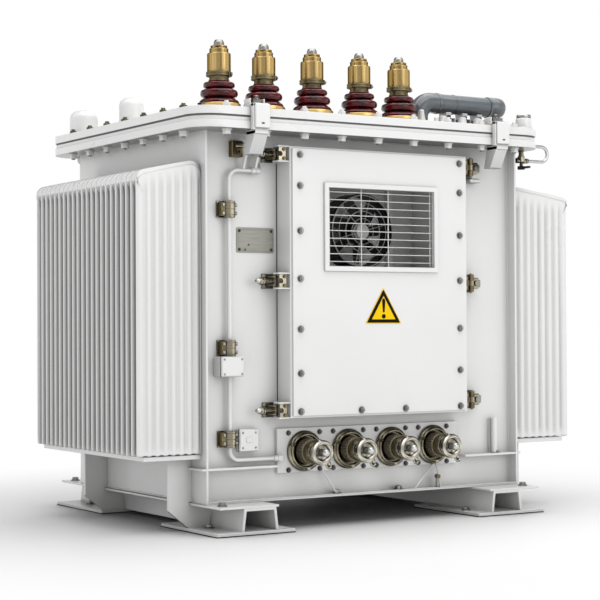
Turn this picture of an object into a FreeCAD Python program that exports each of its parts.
"""Oil-filled distribution transformer: finned tank on skids, lid bushings, fan door.

Millimetres, +Z up, +X to the right, front towards -Y.
The origin lies on the ground at the centre of the four foot plates.
"""
import FreeCAD, Part
import os
import re

V = FreeCAD.Vector
DOC = FreeCAD.newDocument("Transformer")

SIZES = {
    # tank
    "tank_width": 1040, "tank_depth": 740, "sheet": 6, "side_lead": 35,
    "tank_floor": 75, "rim_top": 1086, "rim_height": 31, "rim_width": 1160,
    "rim_depth": 952, "rim_corner": 80, "rim_groove": 3,
    "seal": 4, "seal_inset": 4, "lid_height": 22, "lid_skin": 10,
    # rim fasteners
    "rim_bolt": 12, "rim_pitch_x": 120, "rim_pitch_y": 115, "rim_inset": 28,
    "head_reach": 10.4, "head_height": 8, "nut_height": 10,
    # equipment niche and fan
    "niche_left": -245, "niche_right": 255, "niche_low": 560, "niche_high": 985,
    "niche_depth": 120, "niche_sheet": 3, "post_x": 162, "post_width": 14,
    "fan_x": 5, "fan_z": 804, "fan_reach": 100, "fan_depth": 60, "fan_gap": 10,
    "hub_reach": 34, "blade_count": 7,
    # door
    "door_left": -283, "door_right": 309, "door_low": 295, "door_high": 1021,
    "door_depth": 66, "door_sheet": 4, "door_lip": 46, "cover": 6,
    "cover_inset": 6, "cover_bolt_in": 29, "cover_bolt": 6,
    "window_left": -165, "window_right": 187, "window_low": 702, "window_high": 914,
    "bezel_width": 14, "bezel_height": 7, "wire": 3, "wire_pitch": 21,
    "warning_x": 15, "warning_low": 549, "warning_side": 110, "warning_rise": 90,
    "hinge_x": 342, "hinge_out": 48, "hinge_reach": 8, "pin_reach": 4,
    "hinge_length": 50, "leaf": 5,
    "latch_x": -308, "latch_out": 34, "eye_reach": 7, "bolt_long": 62,
    # connector row
    "row_left": -290, "row_right": 316, "row_low": 145, "row_high": 265,
    "row_sheet": 12, "coupler_z": 202, "coupler_x": 11, "coupler_pitch": 144,
    "coupler_flange": 55, "coupler_body": 37, "coupler_out": 62, "cap_reach": 40,
    "cap_length": 50, "cap_travel": 60,
    # radiators
    "left_reach": 188, "left_high": 932, "left_wall_high": 984, "left_corner": 22,
    "right_reach": 217, "right_high": 928, "right_wall_high": 954, "right_corner": 12,
    "bank_front": -382, "fin_count": 22, "fin_pitch": 30, "fin_thick": 14, "bank_low": 205,
    "bank_sheet": 4, "shelf": 12, "shelf_inset": 20,
    # skids and feet
    "skid_x": 409, "skid_foot_width": 110, "skid_top_width": 96, "skid_sheet": 7,
    "foot_thick": 10, "foot_inner": 305, "foot_outer": 540, "foot_length": 310,
    "foot_reach_y": 496, "hole_reach": 9, "hole_x": 328, "hole_y": 470,
    "skid_cap": 6, "leg_out": 590, "leg_y": 320, "leg_thick": 10,
    # lid fittings
    "bushing_y": -320, "bushing_reach": 55, "bushing_high": 1309,
    "pipe_y": -275, "pipe_z": 1193, "pipe_reach": 28, "pipe_wall": 4, "elbow_x": 261,
    "elbow_bend": 45, "pipe_end": 521, "pipe_cap_end": 574,
    # wiring
    "conduit_x": -440, "conduit_y": -388, "conduit_reach": 6, "conduit_high": 955,
    "conduit_low": 170, "conduit_bend": 26,
    # core and windings
    "core_y": 60, "limb": 120, "limb_pitch": 290, "core_low": 135, "core_high": 915,
    "winding_low": 275, "winding_high": 775,
}


def make_sheet():
    """The driving sizes, one named cell each."""
    sheet = DOC.addObject("Spreadsheet::Sheet", "Sizes")
    for row, (alias, value) in enumerate(SIZES.items(), start=1):
        sheet.set("A%d" % row, alias)
        sheet.set("B%d" % row, str(value))
        sheet.setAlias("B%d" % row, alias)
    DOC.recompute()
    return sheet


SHEET = make_sheet()
NODES = []


def cells(text):
    """An expression in the sheet's names, as the document needs it."""
    return re.sub(r"[a-z]+(?:_[a-z]+)*", lambda m: "Sizes." + m.group(0)
                  if m.group(0) in SIZES else m.group(0), str(text))


def value(text):
    """What an expression comes to, for loops and first sketch positions."""
    result = SHEET.evalExpression(cells(text))
    return float(getattr(result, "Value", result))


def bind(thing, **expressions):
    for name, text in expressions.items():
        thing.setExpression(name, cells(text))
    return thing


def move(thing, at, turn=None):
    """Bind a Placement: at is three expressions, turn an (axis, degrees) pair."""
    if turn:
        thing.Placement = FreeCAD.Placement(V(0, 0, 0), FreeCAD.Rotation(V(*turn[0]), turn[1]))
    for letter, text in zip("xyz", at):
        thing.setExpression("Placement.Base." + letter, cells(text))
    return thing


TURNS = {"z": None, "x": ((0, 1, 0), 90), "y": ((1, 0, 0), -90),
         "-x": ((0, 1, 0), -90), "-y": ((1, 0, 0), 90), "-z": ((1, 0, 0), 180)}


def add(kind, name):
    return DOC.addObject(kind, name)


def box(name, low, high):
    """A block between two corners, each three expressions."""
    block = add("Part::Box", name)
    spans = ["(%s) - (%s)" % (b, a) for a, b in zip(low, high)]
    bind(block, Length=spans[0], Width=spans[1], Height=spans[2])
    return move(block, low)


def rod(name, at, reach, length, way="z"):
    thing = bind(add("Part::Cylinder", name), Radius=reach, Height=length)
    return move(thing, at, TURNS[way])


def cone(name, at, reach, tip_reach, length, way="z"):
    thing = bind(add("Part::Cone", name), Radius1=reach, Radius2=tip_reach, Height=length)
    return move(thing, at, TURNS[way])


def hexagon(name, at, reach, length, way="z"):
    thing = add("Part::Prism", name)
    thing.Polygon = 6
    bind(thing, Circumradius=reach, Height=length)
    return move(thing, at, TURNS[way])


def fuse(name, parts):
    if len(parts) == 1:
        return parts[0]
    thing = add("Part::MultiFuse", name)
    thing.Shapes = parts
    return thing


def cut(name, base, tools):
    thing = add("Part::Cut", name)
    thing.Base = base
    thing.Tool = tools[0] if len(tools) == 1 else group(name + "Tools", tools)
    return thing


def ring(name, at, outer, inner, length, way="z"):
    return cut(name, rod(name + "Outer", at, outer, length, way),
               [rod(name + "Inner", at, inner, length, way)])


def group(name, parts):
    thing = add("Part::Compound", name)
    thing.Links = parts
    return thing


def copies(name, model, places):
    """One model set down at each place."""
    links = []
    for i, at in enumerate(places):
        link = add("App::Link", "%s%d" % (name, i))
        link.LinkedObject = model
        link.LinkTransform = True
        links.append(move(link, at))
    return group(name, links)


def node(label, thing):
    thing.Label = label
    NODES.append(thing)
    return thing


def plane(body, role):
    return [f for f in body.Origin.OriginFeatures if f.Role == role][0]


def outline(body, name, role, loops):
    """A sketch of closed straight-sided loops, each corner held by two bound sizes."""
    import Sketcher
    sketch = body.newObject("Sketcher::SketchObject", name)
    sketch.AttachmentSupport = [(plane(body, role), "")]
    sketch.MapMode = "FlatFace"
    for corners in loops:
        first = sketch.GeometryCount
        points = [V(value(a), value(b), 0) for a, b in corners]
        count = len(points)
        for i in range(count):
            line = Part.LineSegment(points[i], points[(i + 1) % count])
            sketch.addGeometry(line, False)
        for i in range(count):
            sketch.addConstraint(Sketcher.Constraint(
                "Coincident", first + i, 2, first + (i + 1) % count, 1))
        for i, (a, b) in enumerate(corners):
            for kind, text in (("DistanceX", a), ("DistanceY", b)):
                held = sketch.addConstraint(Sketcher.Constraint(
                    kind, -1, 1, first + i, 1, value(text)))
                sketch.setExpression("Constraints[%d]" % held, cells(text))
    return sketch


def pad(name, role, loops, length, at=(0, 0, 0), both_ways=False):
    """A Body whose one outline is padded to a bound length."""
    body = add("PartDesign::Body", name)
    solid = body.newObject("PartDesign::Pad", name + "Pad")
    solid.Profile = outline(body, name + "Outline", role, loops)
    solid.SideType = "Symmetric" if both_ways else "One side"
    bind(solid, Length=length)
    body.Tip = solid
    return move(body, at)


def spin(name, corners, at):
    """A Body turned about +Z from (radius, height) corners."""
    body = add("PartDesign::Body", name)
    solid = body.newObject("PartDesign::Revolution", name + "Turn")
    sketch = outline(body, name + "Outline", "XZ_Plane", [corners])
    solid.Profile = sketch
    solid.ReferenceAxis = (sketch, ["V_Axis"])
    solid.Angle = 360
    body.Tip = solid
    return move(body, at)


def round_corners(name, thing, reach):
    """Fillet every vertical edge."""
    DOC.recompute()
    upright = [i + 1 for i, edge in enumerate(thing.Shape.Edges)
               if abs(edge.tangentAt(edge.FirstParameter).z) > 0.99]
    rounded = add("Part::Fillet", name)
    rounded.Base = thing
    rounded.Edges = [(i, value(reach), value(reach)) for i in upright]
    return rounded


# ---------------------------------------------------------------- tank and lid

def rim_places(height):
    """Fastener places round the rim: nine along the front and back, seven at each side."""
    places = []
    for side in (-1, 1):
        places += [("rim_pitch_x * %d" % i, "%d * (rim_depth / 2 - rim_inset)" % side, height)
                   for i in range(-4, 5)]
        places += [("%d * (rim_width / 2 - rim_inset)" % side, "rim_pitch_y * %d" % i, height)
                   for i in range(-3, 4)]
    return places


def tank_shell():
    half, deep = "tank_width / 2", "tank_depth / 2"
    outer = box("TankOuter", ("-" + half, "-" + deep, "tank_floor"), (half, deep, "rim_top"))
    wings = [box("TankWing%d" % i, (low, "-%s - side_lead" % deep, "tank_floor"),
                 (high, "-" + deep, "rim_top - rim_height"))
             for i, (low, high) in enumerate(((half + " - sheet", half),
                                              ("-" + half, "sheet - " + half)))]
    sill = box("TankSill", ("sheet - " + half, "-%s - side_lead" % deep, "tank_floor"),
               (half + " - sheet", "-" + deep, "tank_floor + sheet"))
    walls = fuse("TankWalls", [outer] + wings + [sill])
    hollow = box("TankHollow", ("sheet - " + half, "sheet - " + deep, "tank_floor + sheet"),
                 (half + " - sheet", deep + " - sheet", "rim_top"))
    window = box("TankWindow", ("niche_left", "-%s - 1" % deep, "niche_low"),
                 ("niche_right", "sheet - " + deep, "niche_high"))
    holes = [rod("TankPort%d" % i, (x, "-%s - 1" % deep, "coupler_z"), 24, "sheet + 2", "y")
             for i, x in enumerate(coupler_xs())]
    node("tank_shell", cut("TankShell", walls, [hollow, window] + holes))


def tank_flange():
    low = "rim_top - rim_height"
    block = round_corners("RimBlock", box("RimBlank", (
        "-rim_width / 2", "-rim_depth / 2", low),
        ("rim_width / 2", "rim_depth / 2", "rim_top")), "rim_corner")
    inner = box("RimHole", ("-tank_width / 2", "-tank_depth / 2", low + " - 1"),
                ("tank_width / 2", "tank_depth / 2", "rim_top + 1"))
    # the upper part of the edge is set back a little, as where two bars are welded together
    belt = round_corners("RimBelt", box("RimBeltBlank", (
        "-rim_width / 2 - 5", "-rim_depth / 2 - 5", "rim_top - 10"),
        ("rim_width / 2 + 5", "rim_depth / 2 + 5", "rim_top + 1")), "rim_corner")
    core = round_corners("RimCore", box("RimCoreBlank", (
        "rim_groove - rim_width / 2", "rim_groove - rim_depth / 2", "rim_top - 11"),
        ("rim_width / 2 - rim_groove", "rim_depth / 2 - rim_groove", "rim_top + 2")),
        "rim_corner - rim_groove")
    groove = cut("RimGroove", belt, [core])
    drill = rod("RimDrill", (0, 0, 0), "rim_bolt / 2 + 0.5", "rim_height + 2")
    holes = copies("RimHoles", drill, rim_places(low + " - 1"))
    node("tank_flange", cut("TankFlange", block, [inner, groove, holes]))


def lid_gasket():
    top = "rim_top + seal"
    block = round_corners("SealBlock", box("SealBlank", (
        "seal_inset - rim_width / 2", "seal_inset - rim_depth / 2", "rim_top"),
        ("rim_width / 2 - seal_inset", "rim_depth / 2 - seal_inset", top)),
        "rim_corner - seal_inset")
    inner = box("SealHole", ("sheet - tank_width / 2", "sheet - tank_depth / 2", "rim_top - 1"),
                ("tank_width / 2 - sheet", "tank_depth / 2 - sheet", top + " + 1"))
    drill = rod("SealDrill", (0, 0, 0), "rim_bolt / 2 + 0.5", "seal + 2")
    node("lid_gasket", cut("LidGasket", block, [
        inner, copies("SealHoles", drill, rim_places("rim_top - 1"))]))


def lid_plate():
    low, top = "rim_top + seal", "rim_top + seal + lid_height"
    block = round_corners("LidBlock", box("LidBlank", (
        "-rim_width / 2", "-rim_depth / 2", low), ("rim_width / 2", "rim_depth / 2", top)),
        "rim_corner")
    hollow = box("LidHollow", ("20 - tank_width / 2", "20 - tank_depth / 2", low + " - 1"),
                 ("tank_width / 2 - 20", "tank_depth / 2 - 20", top + " - lid_skin"))
    drill = rod("LidDrill", (0, 0, 0), "rim_bolt / 2 + 0.5", "lid_height + 2")
    ports = [rod("LidPort%d" % i, (x, "bushing_y", top + " - lid_skin - 1"), 20, "lid_skin + 2")
             for i, x in enumerate(BUSHING_XS)]
    ports.append(rod("LidPipePort", ("elbow_x", "pipe_y", top + " - lid_skin - 1"),
                     "pipe_reach - 6", "lid_skin + 2"))
    node("lid_plate", cut("LidPlate", block, [
        hollow, copies("LidHoles", drill, rim_places(low + " - 1"))] + ports))


def lid_bolts():
    """Hex head over the lid, shank down through seal and rim to the nut."""
    top = "rim_top + seal + lid_height"
    head = hexagon("RimBoltHead", (0, 0, 0), "head_reach", "head_height")
    washer = rod("RimBoltWasher", (0, 0, 0), "head_reach + 2", 2)
    shank = rod("RimBoltShank", (0, 0, 0), "rim_bolt / 2",
                "lid_height + seal + rim_height + nut_height + 4", "-z")
    bolt = fuse("RimBolt", [washer, move(head, (0, 0, 1)), shank])
    node("lid_bolts", copies("LidBolts", bolt, rim_places(top)))
    nut = cut("RimNut", hexagon("RimNutBlank", (0, 0, 0), "head_reach", "nut_height"), [
        rod("RimNutBore", (0, 0, -1), "rim_bolt / 2", "nut_height + 2")])
    node("lid_nuts", copies("LidNuts", nut, rim_places("rim_top - rim_height - nut_height")))


def stiffener_band():
    half, front = "tank_width / 2", "-tank_depth / 2"
    level = 163
    bars = [box("BandFront", ("sheet - " + half, front + " - side_lead", level),
                ("row_left - 12", front, level + 6)),
            box("BandFrontRight", ("row_right + 12", front + " - side_lead", level),
                (half + " - sheet", front, level + 6)),
            box("BandRib", (438, front + " - 10", level + 6), (454, front, level + 106))]
    for i, side in enumerate((-1, 1)):
        ends = sorted((side * 520, side * 532))
        bars.append(box("BandSide%d" % i, (ends[0], front + " - side_lead", level),
                        (ends[1], "-leg_y - leg_thick / 2", level + 6)))
    node("stiffener_band", group("StiffenerBand", [
        bars[0], fuse("BandRight", [bars[1], bars[2]]), bars[3], bars[4]]))


# ---------------------------------------------------------------- radiators

def radiator(label, side):
    """A corrugated bank: one fin patterned along the wall sheet that joins them all."""
    hand = label.split("_")[0]
    wall, outer = "tank_width / 2", "tank_width / 2 + %s_reach" % hand
    high, wall_high, corner = hand + "_high", hand + "_wall_high", hand + "_corner"
    name = "Bank" + hand.title()
    body = add("PartDesign::Body", name)
    # XZ outline of a fin: the top falls from the wall to the rounded outer shoulder
    shoulder = "(%s + (%s - %s) * 0.42)" % (high, wall_high, high)
    profile = [(wall, "bank_low"), (outer + " - 8", "bank_low"), (outer, "bank_low + 8"),
               (outer, "%s - %s" % (high, corner)),
               (outer + " - 7", "%s - %s * 0.3" % (high, corner)),
               (outer + " - 24", high), (outer + " - 90", shoulder),
               (wall + " + 24", wall_high), (wall, wall_high)]
    fin = body.newObject("PartDesign::Pad", name + "Fin")
    fin.Profile = outline(body, name + "FinOutline", "XZ_Plane",
                          [[("%d * (%s)" % (side, a), b) for a, b in profile]])
    bind(fin, Length="fin_thick")
    fin.Reversed = True
    body.Tip = fin
    DOC.recompute()
    rows = body.newObject("PartDesign::LinearPattern", name + "Fins")
    rows.Originals = [fin]
    rows.Direction = (plane(body, "Y_Axis"), [""])
    bind(rows, Length="fin_pitch * (fin_count - 1)", Occurrences="fin_count")
    body.Tip = rows
    backing = body.newObject("PartDesign::Pad", name + "Wall")
    end = "fin_pitch * (fin_count - 1) + fin_thick"
    lows = ("%d * (%s)" % (side, wall), "%d * (%s + bank_sheet)" % (side, wall))
    backing.Profile = outline(body, name + "WallOutline", "XY_Plane",
                              [[(lows[0], 0), (lows[1], 0), (lows[1], end), (lows[0], end)]])
    backing.Refine = False
    bind(backing, Length=wall_high)
    body.Tip = backing
    move(body, (0, "bank_front", 0))
    foot = box(name + "Foot", (("-800", "500")[side > 0], "bank_front - 10", 0),
               (("-500", "800")[side > 0], "bank_front + %s + 10" % end, "bank_low"))
    trimmed = cut(name + "Trimmed", body, [foot])
    # sloping closure between the fins at the top
    cap_loop = [(wall, wall_high + " - 16"), (wall + " + 24", wall_high + " - 16"),
                (outer + " - 90", shoulder + " - 16"), (outer + " - 26", high + " - 16"),
                (outer + " - 26", high + " - 2"), (outer + " - 90", shoulder + " - 2"),
                (wall + " + 24", wall_high + " - 2"), (wall, wall_high + " - 2")]
    closure = pad(name + "Closure", "XZ_Plane",
                  [[("%d * (%s)" % (side, a), b) for a, b in cap_loop]],
                  end, (0, "bank_front + " + end, 0))
    node(label, fuse(name, [trimmed, closure]))


def radiator_supports():
    """Shelves under the fins and the chamfered leg plates that stand on the feet."""
    pieces = []
    half = "tank_width / 2"
    end = "bank_front + fin_pitch * (fin_count - 1) + fin_thick"
    for i, side in enumerate((-1, 1)):
        reach = ("left_reach", "right_reach")[i]
        xs = ["%d * (%s)" % (side, half), "%d * (%s + %s - shelf_inset)" % (side, half, reach)]
        low_x, high_x = (xs[1], xs[0]) if side < 0 else (xs[0], xs[1])
        shelf = box("Shelf%d" % i, (low_x, "bank_front + 6", "bank_low - shelf"),
                    (high_x, end + " - 6", "bank_low"))
        legs = []
        for j, way in enumerate((-1, 1)):
            # the inner edge follows the wall, then steps under the tank to the skid
            corners = [(half, "bank_low - shelf"), ("leg_out", "bank_low - shelf"),
                       ("leg_out", 56), ("foot_outer - 8", "foot_thick"),
                       ("skid_x + skid_foot_width / 2 + 1", "foot_thick"),
                       ("skid_x + skid_foot_width / 2 + 1", "tank_floor - skid_cap"),
                       (529, "tank_floor - skid_cap"), (529, "tank_floor + 2"),
                       (half, "tank_floor + 2")]
            legs.append(pad("Leg%d%d" % (i, j), "XZ_Plane",
                            [[("%d * (%s)" % (side, a), b) for a, b in corners]],
                            "leg_thick", (0, "%d * leg_y * %s" % (
                                way, "1" if way < 0 else "0.6"), 0), both_ways=True))
        pieces.append(fuse("Support%d" % i, [shelf] + legs))
    node("radiator_supports", group("RadiatorSupports", pieces))


# ---------------------------------------------------------------- skids and feet

def skid(label, side):
    """Open channel runner, wider at the foot, under a flat cap that the tank stands on."""
    top = "tank_floor - skid_cap"
    x = "%d * skid_x" % side
    outer = [(x + " - skid_foot_width / 2", "foot_thick"),
             (x + " - skid_foot_width / 2 + skid_sheet", "foot_thick"),
             (x + " - skid_top_width / 2 + skid_sheet", top + " - skid_sheet"),
             (x + " + skid_top_width / 2 - skid_sheet", top + " - skid_sheet"),
             (x + " + skid_foot_width / 2 - skid_sheet", "foot_thick"),
             (x + " + skid_foot_width / 2", "foot_thick"),
             (x + " + skid_top_width / 2", top), (x + " - skid_top_width / 2", top)]
    name = "Skid" + label.split("_")[0].title()
    channel = pad(name + "Channel", "XZ_Plane", [outer], "foot_reach_y * 2 - 8",
                  (0, 0, 0), both_ways=True)
    ends = sorted((side * 351, side * 528))
    cap = box(name + "Cap", (ends[0], "6 - foot_reach_y", top),
              (ends[1], "foot_reach_y - 6", "tank_floor"))
    node(label, fuse(name, [channel, cap]))


def foot_plates():
    plates = []
    for i, (side, way) in enumerate(((-1, -1), (1, -1), (-1, 1), (1, 1))):
        names = ("foot_outer", "foot_inner") if side < 0 else ("foot_inner", "foot_outer")
        ys = ("foot_reach_y", "foot_reach_y - foot_length")
        low_y, high_y = ("-" + ys[0], "foot_length - foot_reach_y") if way < 0 else (ys[1], ys[0])
        sign = "-" if side < 0 else ""
        plate = box("FootBlank%d" % i, (sign + names[0], low_y, 0),
                    (sign + names[1], high_y, "foot_thick"))
        hole = rod("FootHole%d" % i, ("%d * hole_x" % side, "%d * hole_y" % way, -1),
                   "hole_reach", "foot_thick + 2")
        plates.append(cut("Foot%d" % i, plate, [hole]))
    node("foot_plates", group("FootPlates", plates))


def frame_bolts():
    """Clamp bolts on the feet and skid caps, and the two earthing studs on the sill."""
    bolt = fuse("FrameBolt", [rod("FrameWasher", (0, 0, 0), 13, 2.5),
                              hexagon("FrameHead", (0, 0, 2), 9.5, 8)])
    places = []
    for side in (-1, 1):
        for way in (-1, 1):
            places.append(("%d * 328" % side, "%d * (foot_reach_y - 90)" % way, "foot_thick"))
            places.append(("%d * 500" % side, "%d * (foot_reach_y - 45)" % way, "tank_floor"))
            places.append(("%d * 490" % side, "%d * (foot_reach_y - 130)" % way, "foot_thick"))
    places += [(-101, "-tank_depth / 2 - side_lead / 2", "tank_floor + sheet"),
               (104, "-tank_depth / 2 - side_lead / 2", "tank_floor + sheet")]
    node("frame_bolts", copies("FrameBolts", bolt, places))


# ---------------------------------------------------------------- niche and fan

def equipment_niche():
    front, back = "-tank_depth / 2", "niche_depth - tank_depth / 2"
    outer = box("NicheOuter", ("niche_left", front, "niche_low"),
                ("niche_right", back, "niche_high"))
    inner = box("NicheInner", ("niche_left + niche_sheet", front + " - 1",
                               "niche_low + niche_sheet"),
                ("niche_right - niche_sheet", back + " - niche_sheet",
                 "niche_high - niche_sheet"))
    post = box("NichePost", ("post_x - post_width / 2", back + " - niche_sheet - 22",
                             "niche_low + niche_sheet"),
               ("post_x + post_width / 2", back + " - niche_sheet", "niche_high - niche_sheet"))
    node("equipment_niche", fuse("EquipmentNiche", [cut("NicheShell", outer, [inner]), post]))


FAN_FRONT = "fan_gap - tank_depth / 2"


def fan():
    """Axial fan: square-footed round frame, guard rings, motor on three struts, rotor."""
    at = ("fan_x", FAN_FRONT, "fan_z")
    shell = ring("FanShell", at, "fan_reach + 6", "fan_reach", "fan_depth", "y")
    foot = box("FanFoot", ("fan_x - 70", FAN_FRONT + " + 6", "fan_z - fan_reach - 12"),
               ("fan_x + 70", FAN_FRONT + " + fan_depth - 6", "fan_z - fan_reach + 20"))
    legs = [box("FanLeg%d" % i, ("fan_x %s" % low, FAN_FRONT + " + 10", "niche_low + niche_sheet"),
                ("fan_x %s" % high, FAN_FRONT + " + fan_depth - 10", "fan_z - fan_reach - 12"))
            for i, (low, high) in enumerate((("- 60", "- 48"), ("+ 48", "+ 60")))]
    bore = rod("FanBore", at, "fan_reach", "fan_depth", "y")
    base = cut("FanBase", fuse("FanFeet", [foot] + legs), [bore])
    node("fan_frame", fuse("FanFrame", [shell, base]))
    rings = [ring("GuardRing%d" % i, ("fan_x", FAN_FRONT + " - 3", "fan_z"),
                  "fan_reach * %s + 2" % share, "fan_reach * %s - 1" % share, 3, "y")
             for i, share in enumerate((1.02, 0.80, 0.58, 0.36))]
    spokes = []
    for i in range(6):
        spoke = add("Part::Box", "GuardSpoke%d" % i)
        bind(spoke, Length="fan_reach * 0.72", Width=3, Height=3)
        spoke.Placement = FreeCAD.Placement(V(0, 0, 0), FreeCAD.Rotation(V(0, 1, 0), 60 * i + 15))
        shift = FreeCAD.Rotation(V(0, 1, 0), 60 * i + 15).multVec(V(1, 0, 0))
        move(spoke, ("fan_x + fan_reach * 0.33 * %.5f" % shift.x, FAN_FRONT + " - 3",
                     "fan_z + fan_reach * 0.33 * %.5f" % shift.z))
        spokes.append(spoke)
    node("fan_guard", fuse("FanGuard", rings + spokes))
    motor_y = FAN_FRONT + " + fan_depth - 22"
    can = rod("MotorCan", ("fan_x", motor_y, "fan_z"), "hub_reach - 4", 30, "y")
    arms = []
    for i in range(3):
        arm = add("Part::Box", "MotorArm%d" % i)
        bind(arm, Length="fan_reach + 2", Width=5, Height=10)
        arm.Placement = FreeCAD.Placement(V(0, 0, 0), FreeCAD.Rotation(V(0, 1, 0), 120 * i + 30))
        arms.append(move(arm, ("fan_x", motor_y + " + 16", "fan_z")))
    bored = rod("MotorBore", ("fan_x", motor_y + " - 1", "fan_z"), 5, 20, "y")
    reach = rod("MotorReach", ("fan_x", motor_y + " - 2", "fan_z"), "fan_reach", 40, "y")
    trimmed = add("Part::Common", "MotorTrimmed")
    trimmed.Base = fuse("MotorSolid", [can] + arms)
    trimmed.Tool = reach
    node("fan_motor", cut("FanMotor", trimmed, [bored]))
    hub = rod("RotorHub", ("fan_x", FAN_FRONT + " + 6", "fan_z"), "hub_reach", 30, "y")
    shaft = rod("RotorShaft", ("fan_x", FAN_FRONT + " + 30", "fan_z"), 4, 24, "y")
    blades = []
    blade_count = int(value("blade_count"))
    for i in range(blade_count):
        blade = add("Part::Box", "RotorBlade%d" % i)
        bind(blade, Length="fan_reach * 0.90 - 30", Width=3, Height=32)
        around = FreeCAD.Rotation(V(0, 1, 0), 360.0 / blade_count * i)
        tilt = FreeCAD.Rotation(V(1, 0, 0), 28)
        blade.Placement = FreeCAD.Placement(V(0, 0, 0), around * tilt)
        start = around.multVec(V(30, 0, 0) + tilt.multVec(V(0, -1.5, -16)))
        blades.append(move(blade, ("fan_x + %.4f" % start.x, FAN_FRONT + " + 21 + %.4f" % start.y,
                                   "fan_z + %.4f" % start.z)))
    node("fan_rotor", fuse("FanRotor", [hub, shaft] + blades))


# ---------------------------------------------------------------- door

DOOR_BACK = "-tank_depth / 2 - seal"
DOOR_FACE = "-tank_depth / 2 - seal - door_depth"
COVER_FACE = DOOR_FACE + " - cover"
COVER_BOLT_ROWS = (999, 916, 795, 667, 532, 414)


def cover_bolt_places(depth):
    xs = ("door_left + cover_bolt_in", "door_right - cover_bolt_in")
    places = [(x, depth, z) for x in xs for z in COVER_BOLT_ROWS + (312,)]
    return places + [(-59, depth, 311), (89, depth, 311)]


def door_box():
    """Deep tray with a bolting lip round its face, open behind."""
    outer = box("DoorOuter", ("door_left", DOOR_FACE, "door_low"),
                ("door_right", DOOR_BACK, "door_high"))
    inner = box("DoorInner", ("door_left + door_sheet", DOOR_FACE + " + door_sheet",
                              "door_low + door_sheet"),
                ("door_right - door_sheet", DOOR_BACK + " + 1", "door_high - door_sheet"))
    opening = box("DoorOpening", ("door_left + door_lip", DOOR_FACE + " - 1",
                                  "door_low + door_lip - 10"),
                  ("door_right - door_lip", DOOR_FACE + " + door_sheet + 1",
                   "door_high - door_lip + 10"))
    drill = rod("DoorDrill", (0, 0, 0), "cover_bolt / 2 + 0.3", "door_sheet + 2", "y")
    holes = copies("DoorHoles", drill, cover_bolt_places(DOOR_FACE + " - 1"))
    node("door_box", cut("DoorBox", outer, [inner, opening, holes]))


def door_gasket():
    outer = box("DoorSealOuter", ("door_left", DOOR_BACK, "door_low"),
                ("door_right", "-tank_depth / 2", "door_high"))
    inner = box("DoorSealInner", ("door_left + 12", DOOR_BACK + " - 1", "door_low + 12"),
                ("door_right - 12", "1 - tank_depth / 2", "door_high - 12"))
    node("door_gasket", cut("DoorGasket", outer, [inner]))


def door_cover():
    sheet = pad("CoverSheet", "XZ_Plane", [
        [("door_left + cover_inset", "door_low + cover_inset"),
         ("door_right - cover_inset", "door_low + cover_inset"),
         ("door_right - cover_inset", "door_high - cover_inset"),
         ("door_left + cover_inset", "door_high - cover_inset")],
        [("window_left", "window_low"), ("window_right", "window_low"),
         ("window_right", "window_high"), ("window_left", "window_high")]],
        "cover", (0, DOOR_FACE, 0))
    drill = rod("CoverDrill", (0, 0, 0), "cover_bolt / 2 + 0.3", "cover + 2", "y")
    node("door_cover", cut("DoorCover", sheet, [
        copies("CoverHoles", drill, cover_bolt_places(COVER_FACE + " - 1"))]))


def cover_bolts():
    head = hexagon("CoverBoltHead", (0, 0, 0), 6.6, 6, "-y")
    washer = rod("CoverBoltWasher", (0, 0, 0), 9, 2, "-y")
    shank = rod("CoverBoltShank", (0, 0, 0), "cover_bolt / 2", "cover + door_sheet + 8", "y")
    bolt = fuse("CoverBolt", [move(head, (0, -1, 0), TURNS["-y"]), washer, shank])
    node("cover_bolts", copies("CoverBolts", bolt, cover_bolt_places(COVER_FACE)))


def window():
    """Raised bezel on the cover and the welded wire grille behind the opening."""
    edge = ["window_left", "window_right", "window_low", "window_high"]
    bezel = pad("BezelFrame", "XZ_Plane", [
        [(edge[0] + " - bezel_width", edge[2] + " - bezel_width"),
         (edge[1] + " + bezel_width", edge[2] + " - bezel_width"),
         (edge[1] + " + bezel_width", edge[3] + " + bezel_width"),
         (edge[0] + " - bezel_width", edge[3] + " + bezel_width")],
        [(edge[0], edge[2]), (edge[1], edge[2]), (edge[1], edge[3]), (edge[0], edge[3])]],
        "bezel_height", (0, COVER_FACE, 0))
    node("window_bezel", bezel)
    rim = pad("GrilleRim", "XZ_Plane", [
        [(edge[0] + " - 12", edge[2] + " - 12"), (edge[1] + " + 12", edge[2] + " - 12"),
         (edge[1] + " + 12", edge[3] + " + 12"), (edge[0] + " - 12", edge[3] + " + 12")],
        [(edge[0], edge[2]), (edge[1], edge[2]), (edge[1], edge[3]), (edge[0], edge[3])]],
        2, (0, DOOR_FACE + " + 2", 0))
    wires = [rod("WireAcross%d" % i, ("window_left - 8", DOOR_FACE + " + 3",
                                      "window_high - 10 - wire_pitch * %d" % i),
                 "wire / 2", "window_right - window_left + 16", "x") for i in range(10)]
    wires += [rod("WireUp%d" % i, (x, DOOR_FACE + " + 5", "window_low - 8"), "wire / 2",
                  "window_high - window_low + 16") for i, x in enumerate((-154, -49, 41, 184))]
    node("window_grille", fuse("WindowGrille", [rim] + wires))


def warning_plate():
    corners = [("warning_x - warning_side / 2", "warning_low"),
               ("warning_x + warning_side / 2", "warning_low"),
               ("warning_x", "warning_low + warning_rise")]
    node("warning_plate", pad("WarningPlate", "XZ_Plane", [corners], 1.5, (0, COVER_FACE, 0)))


HINGE_ROWS = (993, 661, 327)
HINGE_Y = "-tank_depth / 2 - hinge_out"


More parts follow.
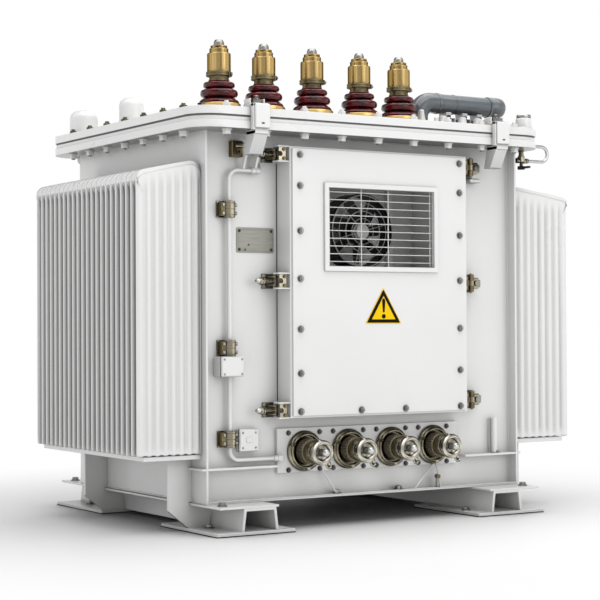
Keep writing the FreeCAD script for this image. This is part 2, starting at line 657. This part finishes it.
def hinges():
    """Three brass hinges: the fixed leaf carries two knuckles and the pin."""
    moving, fixed = [], []
    third = "hinge_length / 3"
    for i, level in enumerate(HINGE_ROWS):
        low = "%d - hinge_length / 2" % level
        barrel = ring("MovingKnuckle%d" % i, ("hinge_x", HINGE_Y, "%s + %s + 0.5" % (low, third)),
                      "hinge_reach", "pin_reach + 0.3", third + " - 1")
        leaf = box("MovingLeaf%d" % i, ("door_right", HINGE_Y + " - leaf / 2", low + " + 4"),
                   ("hinge_x - hinge_reach - 3", HINGE_Y + " + leaf / 2",
                    low + " + hinge_length - 4"))
        tongue = box("MovingTongue%d" % i, ("hinge_x - hinge_reach - 4", HINGE_Y + " - leaf / 2",
                                            "%s + %s + 0.5" % (low, third)),
                     ("hinge_x - pin_reach - 2", HINGE_Y + " + leaf / 2",
                      "%s + 2 * %s - 0.5" % (low, third)))
        moving.append(fuse("MovingHinge%d" % i, [barrel, leaf, tongue]))
        pieces = [rod("HingePin%d" % i, ("hinge_x", HINGE_Y, low + " - 3"), "pin_reach",
                      "hinge_length + 6")]
        for j, base in enumerate((low, "%s + 2 * %s" % (low, third))):
            pieces.append(rod("FixedKnuckle%d%d" % (i, j), ("hinge_x", HINGE_Y, base),
                              "hinge_reach", third))
            pieces.append(box("FixedArm%d%d" % (i, j), (
                "hinge_x - leaf / 2", HINGE_Y, base), ("hinge_x + leaf / 2",
                                                       "-tank_depth / 2 - leaf", base + " + " + third)))
        pieces.append(box("FixedPad%d" % i, ("hinge_x - 14", "-tank_depth / 2 - leaf", low),
                          ("hinge_x + 30", "-tank_depth / 2", low + " + hinge_length")))
        fixed.append(fuse("FixedHinge%d" % i, pieces))
    node("door_hinge_leaves", group("DoorHingeLeaves", moving))
    node("frame_hinge_leaves", group("FrameHingeLeaves", fixed))


LATCH_ROWS = (1000, 661, 316)
LATCH_Y = "-tank_depth / 2 - latch_out"


def latches():
    """Swing-bolt clamps: slotted lug on the door, forked bracket on the wall, eye bolt."""
    lugs, brackets = [], []
    for i, level in enumerate(LATCH_ROWS):
        plates = [box("LugPlate%d%d" % (i, j), ("latch_x - 10", LATCH_Y + " - 34", low),
                      ("door_left", LATCH_Y + " + 16", low + 4))
                  for j, low in enumerate((level - 22, level + 18))]
        face = box("LugFace%d" % i, ("latch_x - 10", LATCH_Y + " - 34", level - 22),
                   ("door_left", LATCH_Y + " - 30", level + 22))
        slot = box("LugSlot%d" % i, ("latch_x - 11", LATCH_Y + " - 35", level - 6),
                   ("latch_x + 6", LATCH_Y + " - 29", level + 6))
        lugs.append(cut("Lug%d" % i, fuse("LugSolid%d" % i, plates + [face]), [slot]))
        ears = [box("Ear%d%d" % (i, j), ("latch_x - 11", LATCH_Y + " - 11", low),
                    ("latch_x + 11", "-tank_depth / 2 - 3", low + 4))
                for j, low in enumerate((level - 13, level + 9))]
        foot = box("LatchFoot%d" % i, ("latch_x - 24", "-tank_depth / 2 - 3", level - 20),
                   ("latch_x + 13", "-tank_depth / 2", level + 20))
        pin = rod("LatchPin%d" % i, ("latch_x", LATCH_Y, level - 15), 3, 30)
        brackets.append(fuse("Bracket%d" % i, ears + [foot, pin]))
        bolt_parts = [rod("Eye%d" % i, ("latch_x", LATCH_Y, level - 8), "eye_reach", 16),
                      rod("EyeShank%d" % i, ("latch_x - 3", LATCH_Y, level), 4,
                          "bolt_long - 3", "-x"),
                      hexagon("EyeNut%d" % i, ("latch_x - 39.5", LATCH_Y, level), 8.5, 10, "-x"),
                      rod("EyeWasher%d" % i, ("latch_x - 36.5", LATCH_Y, level), 10, 3, "-x")]
        bore = rod("EyeBore%d" % i, ("latch_x", LATCH_Y, level - 9), 3.3, 18)
        node("swing_bolt_%d" % (i + 1), cut("SwingBolt%d" % i,
                                            fuse("EyeBolt%d" % i, bolt_parts), [bore]))
    node("latch_lugs", group("LatchLugs", lugs))
    node("latch_brackets", group("LatchBrackets", brackets))


# ---------------------------------------------------------------- connector row

def coupler_xs():
    return ["coupler_x + coupler_pitch * %.1f" % (i - 1.5) for i in range(4)]


ROW_FACE = "-tank_depth / 2 - row_sheet"


def connector_row():
    plate = box("RowBlank", ("row_left", ROW_FACE, "row_low"),
                ("row_right", "-tank_depth / 2", "row_high"))
    ports = [rod("RowPort%d" % i, (x, ROW_FACE + " - 1", "coupler_z"), 24, "row_sheet + 2", "y")
             for i, x in enumerate(coupler_xs())]
    node("connector_plate", cut("ConnectorPlate", plate, ports))
    sockets, bolts = [], []
    for i, x in enumerate(coupler_xs()):
        flange = rod("SocketFlange%d" % i, (x, ROW_FACE, "coupler_z"), "coupler_flange", 10, "-y")
        collar = rod("SocketCollar%d" % i, (x, ROW_FACE + " - 10", "coupler_z"),
                     "coupler_flange - 7", 8, "-y")
        barrel = rod("SocketBody%d" % i, (x, ROW_FACE + " - 14", "coupler_z"), "coupler_body",
                     "coupler_out - 14", "-y")
        spigot = rod("SocketNose%d" % i, (x, ROW_FACE, "coupler_z"), 22,
                     "coupler_out + 16", "-y")
        tail = rod("SocketTail%d" % i, (x, ROW_FACE, "coupler_z"), 22, "row_sheet + 50", "y")
        sockets.append(fuse("Socket%d" % i, [flange, collar, barrel, spigot, tail]))
        bolts += [(x + " + %d" % dx, ROW_FACE, "coupler_z + %d" % dz)
                  for dx in (-50, 50) for dz in (-50, 50)]
    node("coupler_sockets", group("CouplerSockets", sockets))
    bolt = fuse("RowBolt", [rod("RowWasher", (0, 0, 0), 7, 1.5, "-y"),
                            hexagon("RowHead", (0, -1, 0), 5.2, 6, "-y")])
    node("coupler_bolts", copies("CouplerBolts", bolt, bolts))
    for i, x in enumerate(coupler_xs()):
        start = ROW_FACE + " - coupler_out"
        skirt = rod("CapSkirt%d" % i, (x, start, "coupler_z"), "cap_reach", "cap_length - 14", "-y")
        dome = cone("CapDome%d" % i, (x, start + " - cap_length + 14", "coupler_z"),
                    "cap_reach", "cap_reach - 12", 14, "-y")
        knob = rod("CapKnob%d" % i, (x, start + " - cap_length", "coupler_z"), 10, 9, "-y")
        bore = rod("CapBore%d" % i, (x, start + " + 1", "coupler_z"), 22.5,
                   "18 + 1", "-y")
        node("coupler_cap_%d" % (i + 1), cut("Cap%d" % i, fuse(
            "CapSolid%d" % i, [skirt, dome, knob]), [bore]))


# ---------------------------------------------------------------- lid fittings

BUSHING_XS = (-430, -290, -134, 24, 161)
LID_TOP = "rim_top + seal + lid_height"


def bushings():
    """Ringed base, ribbed porcelain and stepped brass terminal, five times."""
    sheds = [(12.5, 8), ("bushing_reach - 3", 8), ("bushing_reach", 14),
             ("bushing_reach", 36), ("bushing_reach - 9", 40), ("bushing_reach - 4", 46),
             ("bushing_reach - 4", 62), ("bushing_reach - 16", 66),
             ("bushing_reach - 12", 70), ("bushing_reach - 12", 80), (30, 86), (12.5, 86)]
    porcelain = spin("Porcelain", sheds, (0, 0, 0))
    band = ring("BushingBand", (0, 0, 0), "bushing_reach + 2", 30, 8)
    steps = [(0, -44), (12, -44), (12, 86), (28, 86), (28, 98), (35, 98), (35, 110),
             (31.5, 110), (31.5, 160), (25.5, 160), (25.5, 173), (22.5, 173), (22.5, 181),
             (14, 181), (14, 197), (0, 197)]
    terminal = spin("Terminal", steps, (0, 0, 0))
    for name, model in (("bushing_insulators", porcelain), ("bushing_terminals", terminal),
                        ("bushing_rings", band)):
        node(name, copies(name.title().replace("_", ""), model,
                          [(x, "bushing_y", LID_TOP) for x in BUSHING_XS]))


def pipe_run(name, leg_reach, run_reach, ends):
    """Riser, quarter bend, short socket and straight run, all of one bore."""
    start, stop = "elbow_x + elbow_bend", "pipe_end - elbow_x - elbow_bend + %d" % ends
    riser = rod(name + "Riser", ("elbow_x", "pipe_y", "%s - %d" % (LID_TOP, ends)), leg_reach,
                "pipe_z - elbow_bend - (%s) + %d" % (LID_TOP, ends))
    bend = bind(add("Part::Torus", name + "Bend"), Radius1="elbow_bend", Radius2=leg_reach)
    bend.Angle3 = 90
    bend.Placement = FreeCAD.Placement(V(0, 0, 0), FreeCAD.Rotation(
        V(-1, 0, 0), V(0, 0, 1), V(0, 1, 0), "XYZ"))
    move(bend, (start, "pipe_y", "pipe_z - elbow_bend"))
    socket = rod(name + "Socket", (start, "pipe_y", "pipe_z"), leg_reach, 30, "x")
    run = rod(name + "Run", (start, "pipe_y", "pipe_z"), run_reach, stop, "x")
    return fuse(name, [riser, bend, socket, run])


def expansion_pipe():
    outer = pipe_run("PipeOuter", "pipe_reach + 3", "pipe_reach", 0)
    inner = pipe_run("PipeInner", "pipe_reach - pipe_wall", "pipe_reach - pipe_wall", 1)
    node("expansion_pipe", cut("ExpansionPipe", outer, [inner]))
    sleeve = rod("CapSleeve", ("pipe_end - 8", "pipe_y", "pipe_z"), "pipe_reach + 3",
                 "pipe_cap_end - pipe_end + 2", "x")
    crown = cone("CapCrown", ("pipe_cap_end - 6", "pipe_y", "pipe_z"), "pipe_reach + 3",
                 "pipe_reach - 3", 6, "x")
    seat = rod("CapSeat", ("pipe_end - 9", "pipe_y", "pipe_z"), "pipe_reach", 9, "x")
    node("pipe_end_cap", cut("PipeEndCap", fuse("EndCapSolid", [sleeve, crown]), [seat]))
    saddles = []
    clear = rod("SaddleBed", ("elbow_x + 60", "pipe_y", "pipe_z"), "pipe_reach", 400, "x")
    for i, x in enumerate((361, 421, 476)):
        block = box("SaddleBlock%d" % i, (x - 13, "pipe_y - 30", LID_TOP),
                    (x + 13, "pipe_y + 30", "pipe_z - 12"))
        saddles.append(cut("Saddle%d" % i, block, [clear]))
    node("pipe_saddles", group("PipeSaddles", saddles))


def dome_caps():
    """Two domed covers at the rear left and a low plug at the right front corner."""
    pieces = []
    for i, (x, y, reach, high) in enumerate(((-497, 390, 42, 80), (-337, 390, 38, 130))):
        corners = [(0, 0), (reach + 5, 0), (reach + 5, 12), (reach, 15), (reach, high - 28),
                   (reach - 4, high - 14), (reach - 12, high - 4), (reach - 24, high), (0, high)]
        pieces.append(spin("Dome%d" % i, corners, (x, y, LID_TOP)))
    plug = spin("CornerPlug", [(0, 0), (27, 0), (25, 30), (20, 44), (0, 44)],
                (536, -424, LID_TOP))
    node("dome_caps", group("DomeCaps", pieces + [plug]))


def lifting_brackets():
    """Clamp hooks over the lid edge, with a tapered tongue below, at four places."""
    pieces, nuts = [], []
    for i, (x, way) in enumerate(((-400, -1), (400, -1), (-400, 1), (400, 1))):
        def span(low, high):
            ends = ["%d * (rim_depth / 2 %s)" % (way, text) for text in (low, high)]
            return (ends[1], ends[0]) if way < 0 else (ends[0], ends[1])
        face = span("", "+ 24")
        hook = span("- 40", "+ 24")
        tongue = span("- 30", "+ 18")
        low = "rim_top - rim_height"
        block = box("BracketFace%d" % i, (x - 25, face[0], low + " - 4"),
                    (x + 25, face[1], LID_TOP + " + 10"))
        over = box("BracketHook%d" % i, (x - 25, hook[0], LID_TOP),
                   (x + 25, hook[1], LID_TOP + " + 10"))
        under = box("BracketTongue%d" % i, (x - 20, tongue[0], low + " - 14"),
                    (x + 20, tongue[1], low))
        wedge = [("%d * (rim_depth / 2 + 20)" % way, low + " - 4"),
                 ("%d * (rim_depth / 2 - 30)" % way, low + " - 4"),
                 ("%d * (rim_depth / 2 - 44)" % way, low + " - 65"),
                 ("%d * (rim_depth / 2 - 14)" % way, low + " - 65")]
        taper = pad("BracketTaper%d" % i, "YZ_Plane", [wedge], 36, (x, 0, 0), both_ways=True)
        pieces.append(fuse("Bracket_%d" % i, [block, over, under, taper]))
        nuts.append((x, "%d * (rim_depth / 2 - 12)" % way, LID_TOP + " + 10"))
    node("lifting_brackets", group("LiftingBrackets", pieces))
    nut = fuse("BracketBolt", [rod("BracketWasher", (0, 0, 0), 15, 3),
                               hexagon("BracketNut", (0, 0, 2), 12, 12),
                               rod("BracketStud", (0, 0, 13), 7, 10)])
    node("bracket_bolts", copies("BracketBolts", nut, nuts))


# ---------------------------------------------------------------- wiring and plates

def conduit_path(name, points, bend):
    """A round tube through straight runs joined by one quarter bend."""
    start, corner, end = [V(*[value(c) for c in p]) for p in points]
    first = (start - corner).normalize()
    second = (end - corner).normalize()
    turn = value(bend)
    a, b = corner + first * turn, corner + second * turn
    middle = corner + (first + second) * (turn * (1 - 0.5 ** 0.5))
    wire = Part.Wire([Part.LineSegment(start, a).toShape(), Part.Arc(a, middle, b).toShape(),
                      Part.LineSegment(b, end).toShape()])
    profile = Part.Wire([Part.makeCircle(value("conduit_reach"), start, first)])
    tube = add("Part::Feature", name)
    tube.Shape = wire.makePipeShell([profile], True, True)
    return tube


def conduit():
    x, y = "conduit_x", "conduit_y"
    upper = conduit_path("ConduitUpper", ((x, y, 461), (x, y, "conduit_high"),
                                          (-366, y, "conduit_high")), "conduit_bend")
    lower = conduit_path("ConduitLower", ((x, y, 408), (x, y, "conduit_low + 16"),
                                          ("row_left - 4", y, "conduit_low + 16")),
                         "conduit_bend")
    gland = rod("ConduitGland", (-366, y, "conduit_high"), 8, 24, "x")
    stay = box("ConduitStay", (-356, y + " + 4", "conduit_high - 6"),
               (-344, "-tank_depth / 2", "conduit_high + 6"))
    entry = box("ConduitEntry", ("row_left - 4", y + " - 8", "conduit_low + 8"),
                ("row_left + 10", ROW_FACE, "conduit_low + 24"))
    end = fuse("ConduitEnd", [gland, stay])
    node("conduit", group("Conduit", [fuse("ConduitTop", [upper, end]),
                                      fuse("ConduitFoot", [lower, entry])]))
    clamps = []
    for i, level in enumerate((850, 483, 243)):
        sleeve = ring("ClampSleeve%d" % i, (x, y, level - 22), 17, "conduit_reach", 44)
        foot = box("ClampFoot%d" % i, (x + " - 30", "-tank_depth / 2 - 5", level - 22),
                   (x + " + 4", "-tank_depth / 2", level + 22))
        arm = box("ClampArm%d" % i, (x + " - 26", y + " + 2", level - 18),
                  (x + " - 16", "-tank_depth / 2 - 4", level + 18))
        ear = box("ClampEar%d" % i, (x + " - 26", y + " - 6", level - 18),
                  (x + " - 12", y + " + 6", level + 18))
        screw = rod("ClampScrew%d" % i, (x + " + 15", y, level - 10), 5, 9, "x")
        clamps.append(fuse("Clamp%d" % i, [sleeve, foot, arm, ear, screw]))
    node("conduit_clamps", group("ConduitClamps", clamps))
    upper_box = box("UpperBox", (-480, "-tank_depth / 2 - 50", 408), (-413, "-tank_depth / 2", 461))
    lower_box = box("LowerBox", (-412, "-tank_depth / 2 - 22", 208), (-353, "-tank_depth / 2", 268))
    screws = [rod("LowerBoxScrew%d" % i, (-398 + 30 * i, "-tank_depth / 2 - 22", 222 + 30 * i),
                  3, 2, "-y") for i in range(2)]
    node("junction_boxes", group("JunctionBoxes", [
        upper_box, fuse("LowerBoxBody", [lower_box] + screws)]))


def nameplate():
    low, high = (-408, "-tank_depth / 2 - 2", 737), (-292, "-tank_depth / 2", 804)
    plate = box("NameBlank", low, high)
    rivets = [rod("NameRivet%d" % i, (x, "-tank_depth / 2 - 2", z), 2.6, 2, "-y")
              for i, (x, z) in enumerate(((-400, 745), (-400, 796), (-300, 745), (-300, 796)))]
    node("nameplate", fuse("Nameplate", [plate] + rivets))


def sampling_valve():
    """Small valve under the right end of the rim, with a looped vent tube."""
    x, y = 552, -392
    body = [rod("ValveStem", (x, y, "rim_top - rim_height - 22"), 9, 22),
            hexagon("ValveHex", (x, y, "rim_top - rim_height - 34"), 13, 16),
            rod("ValveBarrel", (x - 20, y, "rim_top - rim_height - 30"), 8, 36, "x"),
            rod("ValveSpindle", (x, y, "rim_top - rim_height - 46"), 5, 14)]
    node("valve_body", fuse("ValveBody", body))
    hub = rod("HandleHub", (x, y, "rim_top - rim_height - 56"), 11, 10)
    lever = box("HandleLever", (x - 6, y - 38, "rim_top - rim_height - 54"),
                (x + 6, y, "rim_top - rim_height - 48"))
    node("valve_handle", fuse("ValveHandle", [hub, lever]))
    start, high, low = 568, 1070, 1025
    reach = (high - low) / 2.0
    straight = 652 - start - reach
    wire = Part.Wire([
        Part.LineSegment(V(580, y, high), V(start + straight, y, high)).toShape(),
        Part.Arc(V(start + straight, y, high), V(start + straight + reach, y, high - reach),
                 V(start + straight, y, low)).toShape(),
        Part.LineSegment(V(start + straight, y, low), V(start, y, low)).toShape()])
    profile = Part.Wire([Part.makeCircle(5, V(580, y, high), V(1, 0, 0))])
    tube = add("Part::Feature", "VentTube")
    tube.Shape = wire.makePipeShell([profile], True, True)
    node("vent_tube", tube)


# ---------------------------------------------------------------- core and windings

def core():
    """Three limbs and two yokes in one E-and-I outline, one pair of coils on each limb."""
    span = "limb_pitch + limb / 2"
    window_low, window_high = "core_low + limb", "core_high - limb"
    loops = [[("-(%s)" % span, "core_low"), (span, "core_low"), (span, "core_high"),
              ("-(%s)" % span, "core_high")]]
    for side in (-1, 1):
        inner = ("limb / 2", "limb_pitch - limb / 2")
        low_x, high_x = (("-(%s)" % inner[1], "-(%s)" % inner[0]) if side < 0 else inner)
        loops.append([(low_x, window_low), (high_x, window_low), (high_x, window_high),
                      (low_x, window_high)])
    node("core", pad("Core", "XZ_Plane", loops, "limb", (0, "core_y", 0), both_ways=True))
    limbs = ["limb_pitch * %d" % i for i in (-1, 0, 1)]
    for label, outer, inner in (("lv_windings", 106, 86), ("hv_windings", 132, 112)):
        coil = ring(label.title().replace("_", "") + "Coil", (0, 0, 0), outer, inner,
                    "winding_high - winding_low")
        node(label, copies(label.title().replace("_", ""), coil,
                           [(x, "core_y", "winding_low") for x in limbs]))
    frames = []
    for i, (low, high) in enumerate((("core_low + 10", "core_low + 100"),
                                     ("core_high - 100", "core_high - 10"))):
        for j, way in enumerate((-1, 1)):
            ys = sorted((way * 60, way * 72))
            frames.append(box("Clamp%d%d" % (i, j), (
                "-(%s)" % span, "core_y + %d" % ys[0], low), (
                    span, "core_y + %d" % ys[1], high)))
    feet = [box("CoreFoot%d" % i, (x - 30, "core_y - 72", "tank_floor + sheet"),
                (x + 30, "core_y + 72", "core_low")) for i, x in enumerate((-290, 290))]
    node("core_clamps", group("CoreClamps", frames + feet))


def build():
    tank_shell()
    tank_flange()
    lid_gasket()
    lid_plate()
    lid_bolts()
    stiffener_band()
    radiator("left_radiator", -1)
    radiator("right_radiator", 1)
    radiator_supports()
    skid("left_skid", -1)
    skid("right_skid", 1)
    foot_plates()
    frame_bolts()
    equipment_niche()
    fan()
    door_box()
    door_gasket()
    door_cover()
    cover_bolts()
    window()
    warning_plate()
    hinges()
    latches()
    connector_row()
    bushings()
    expansion_pipe()
    dome_caps()
    lifting_brackets()
    conduit()
    nameplate()
    sampling_valve()
    core()


def write_parts():
    """Check every object, then write one file per sub-part."""
    DOC.recompute()
    for thing in DOC.Objects:
        if "Invalid" in thing.State or "Error" in thing.State:
            raise RuntimeError("%s failed: %s" % (thing.Name, thing.State))
    for thing in NODES:
        if thing.Shape.isNull() or not thing.Shape.isValid() or not thing.Shape.Solids:
            raise RuntimeError("%s has no valid shape" % thing.Label)
    os.makedirs("parts", exist_ok=True)
    for thing in NODES:
        thing.Shape.exportStep("parts/%s.step" % thing.Label)
        bounds = thing.Shape.BoundBox
        print("%-22s solids %3d  x %7.1f %7.1f  y %7.1f %7.1f  z %7.1f %7.1f" % (
            thing.Label, len(thing.Shape.Solids), bounds.XMin, bounds.XMax,
            bounds.YMin, bounds.YMax, bounds.ZMin, bounds.ZMax))
    print(len(NODES), "nodes")


build()
write_parts()
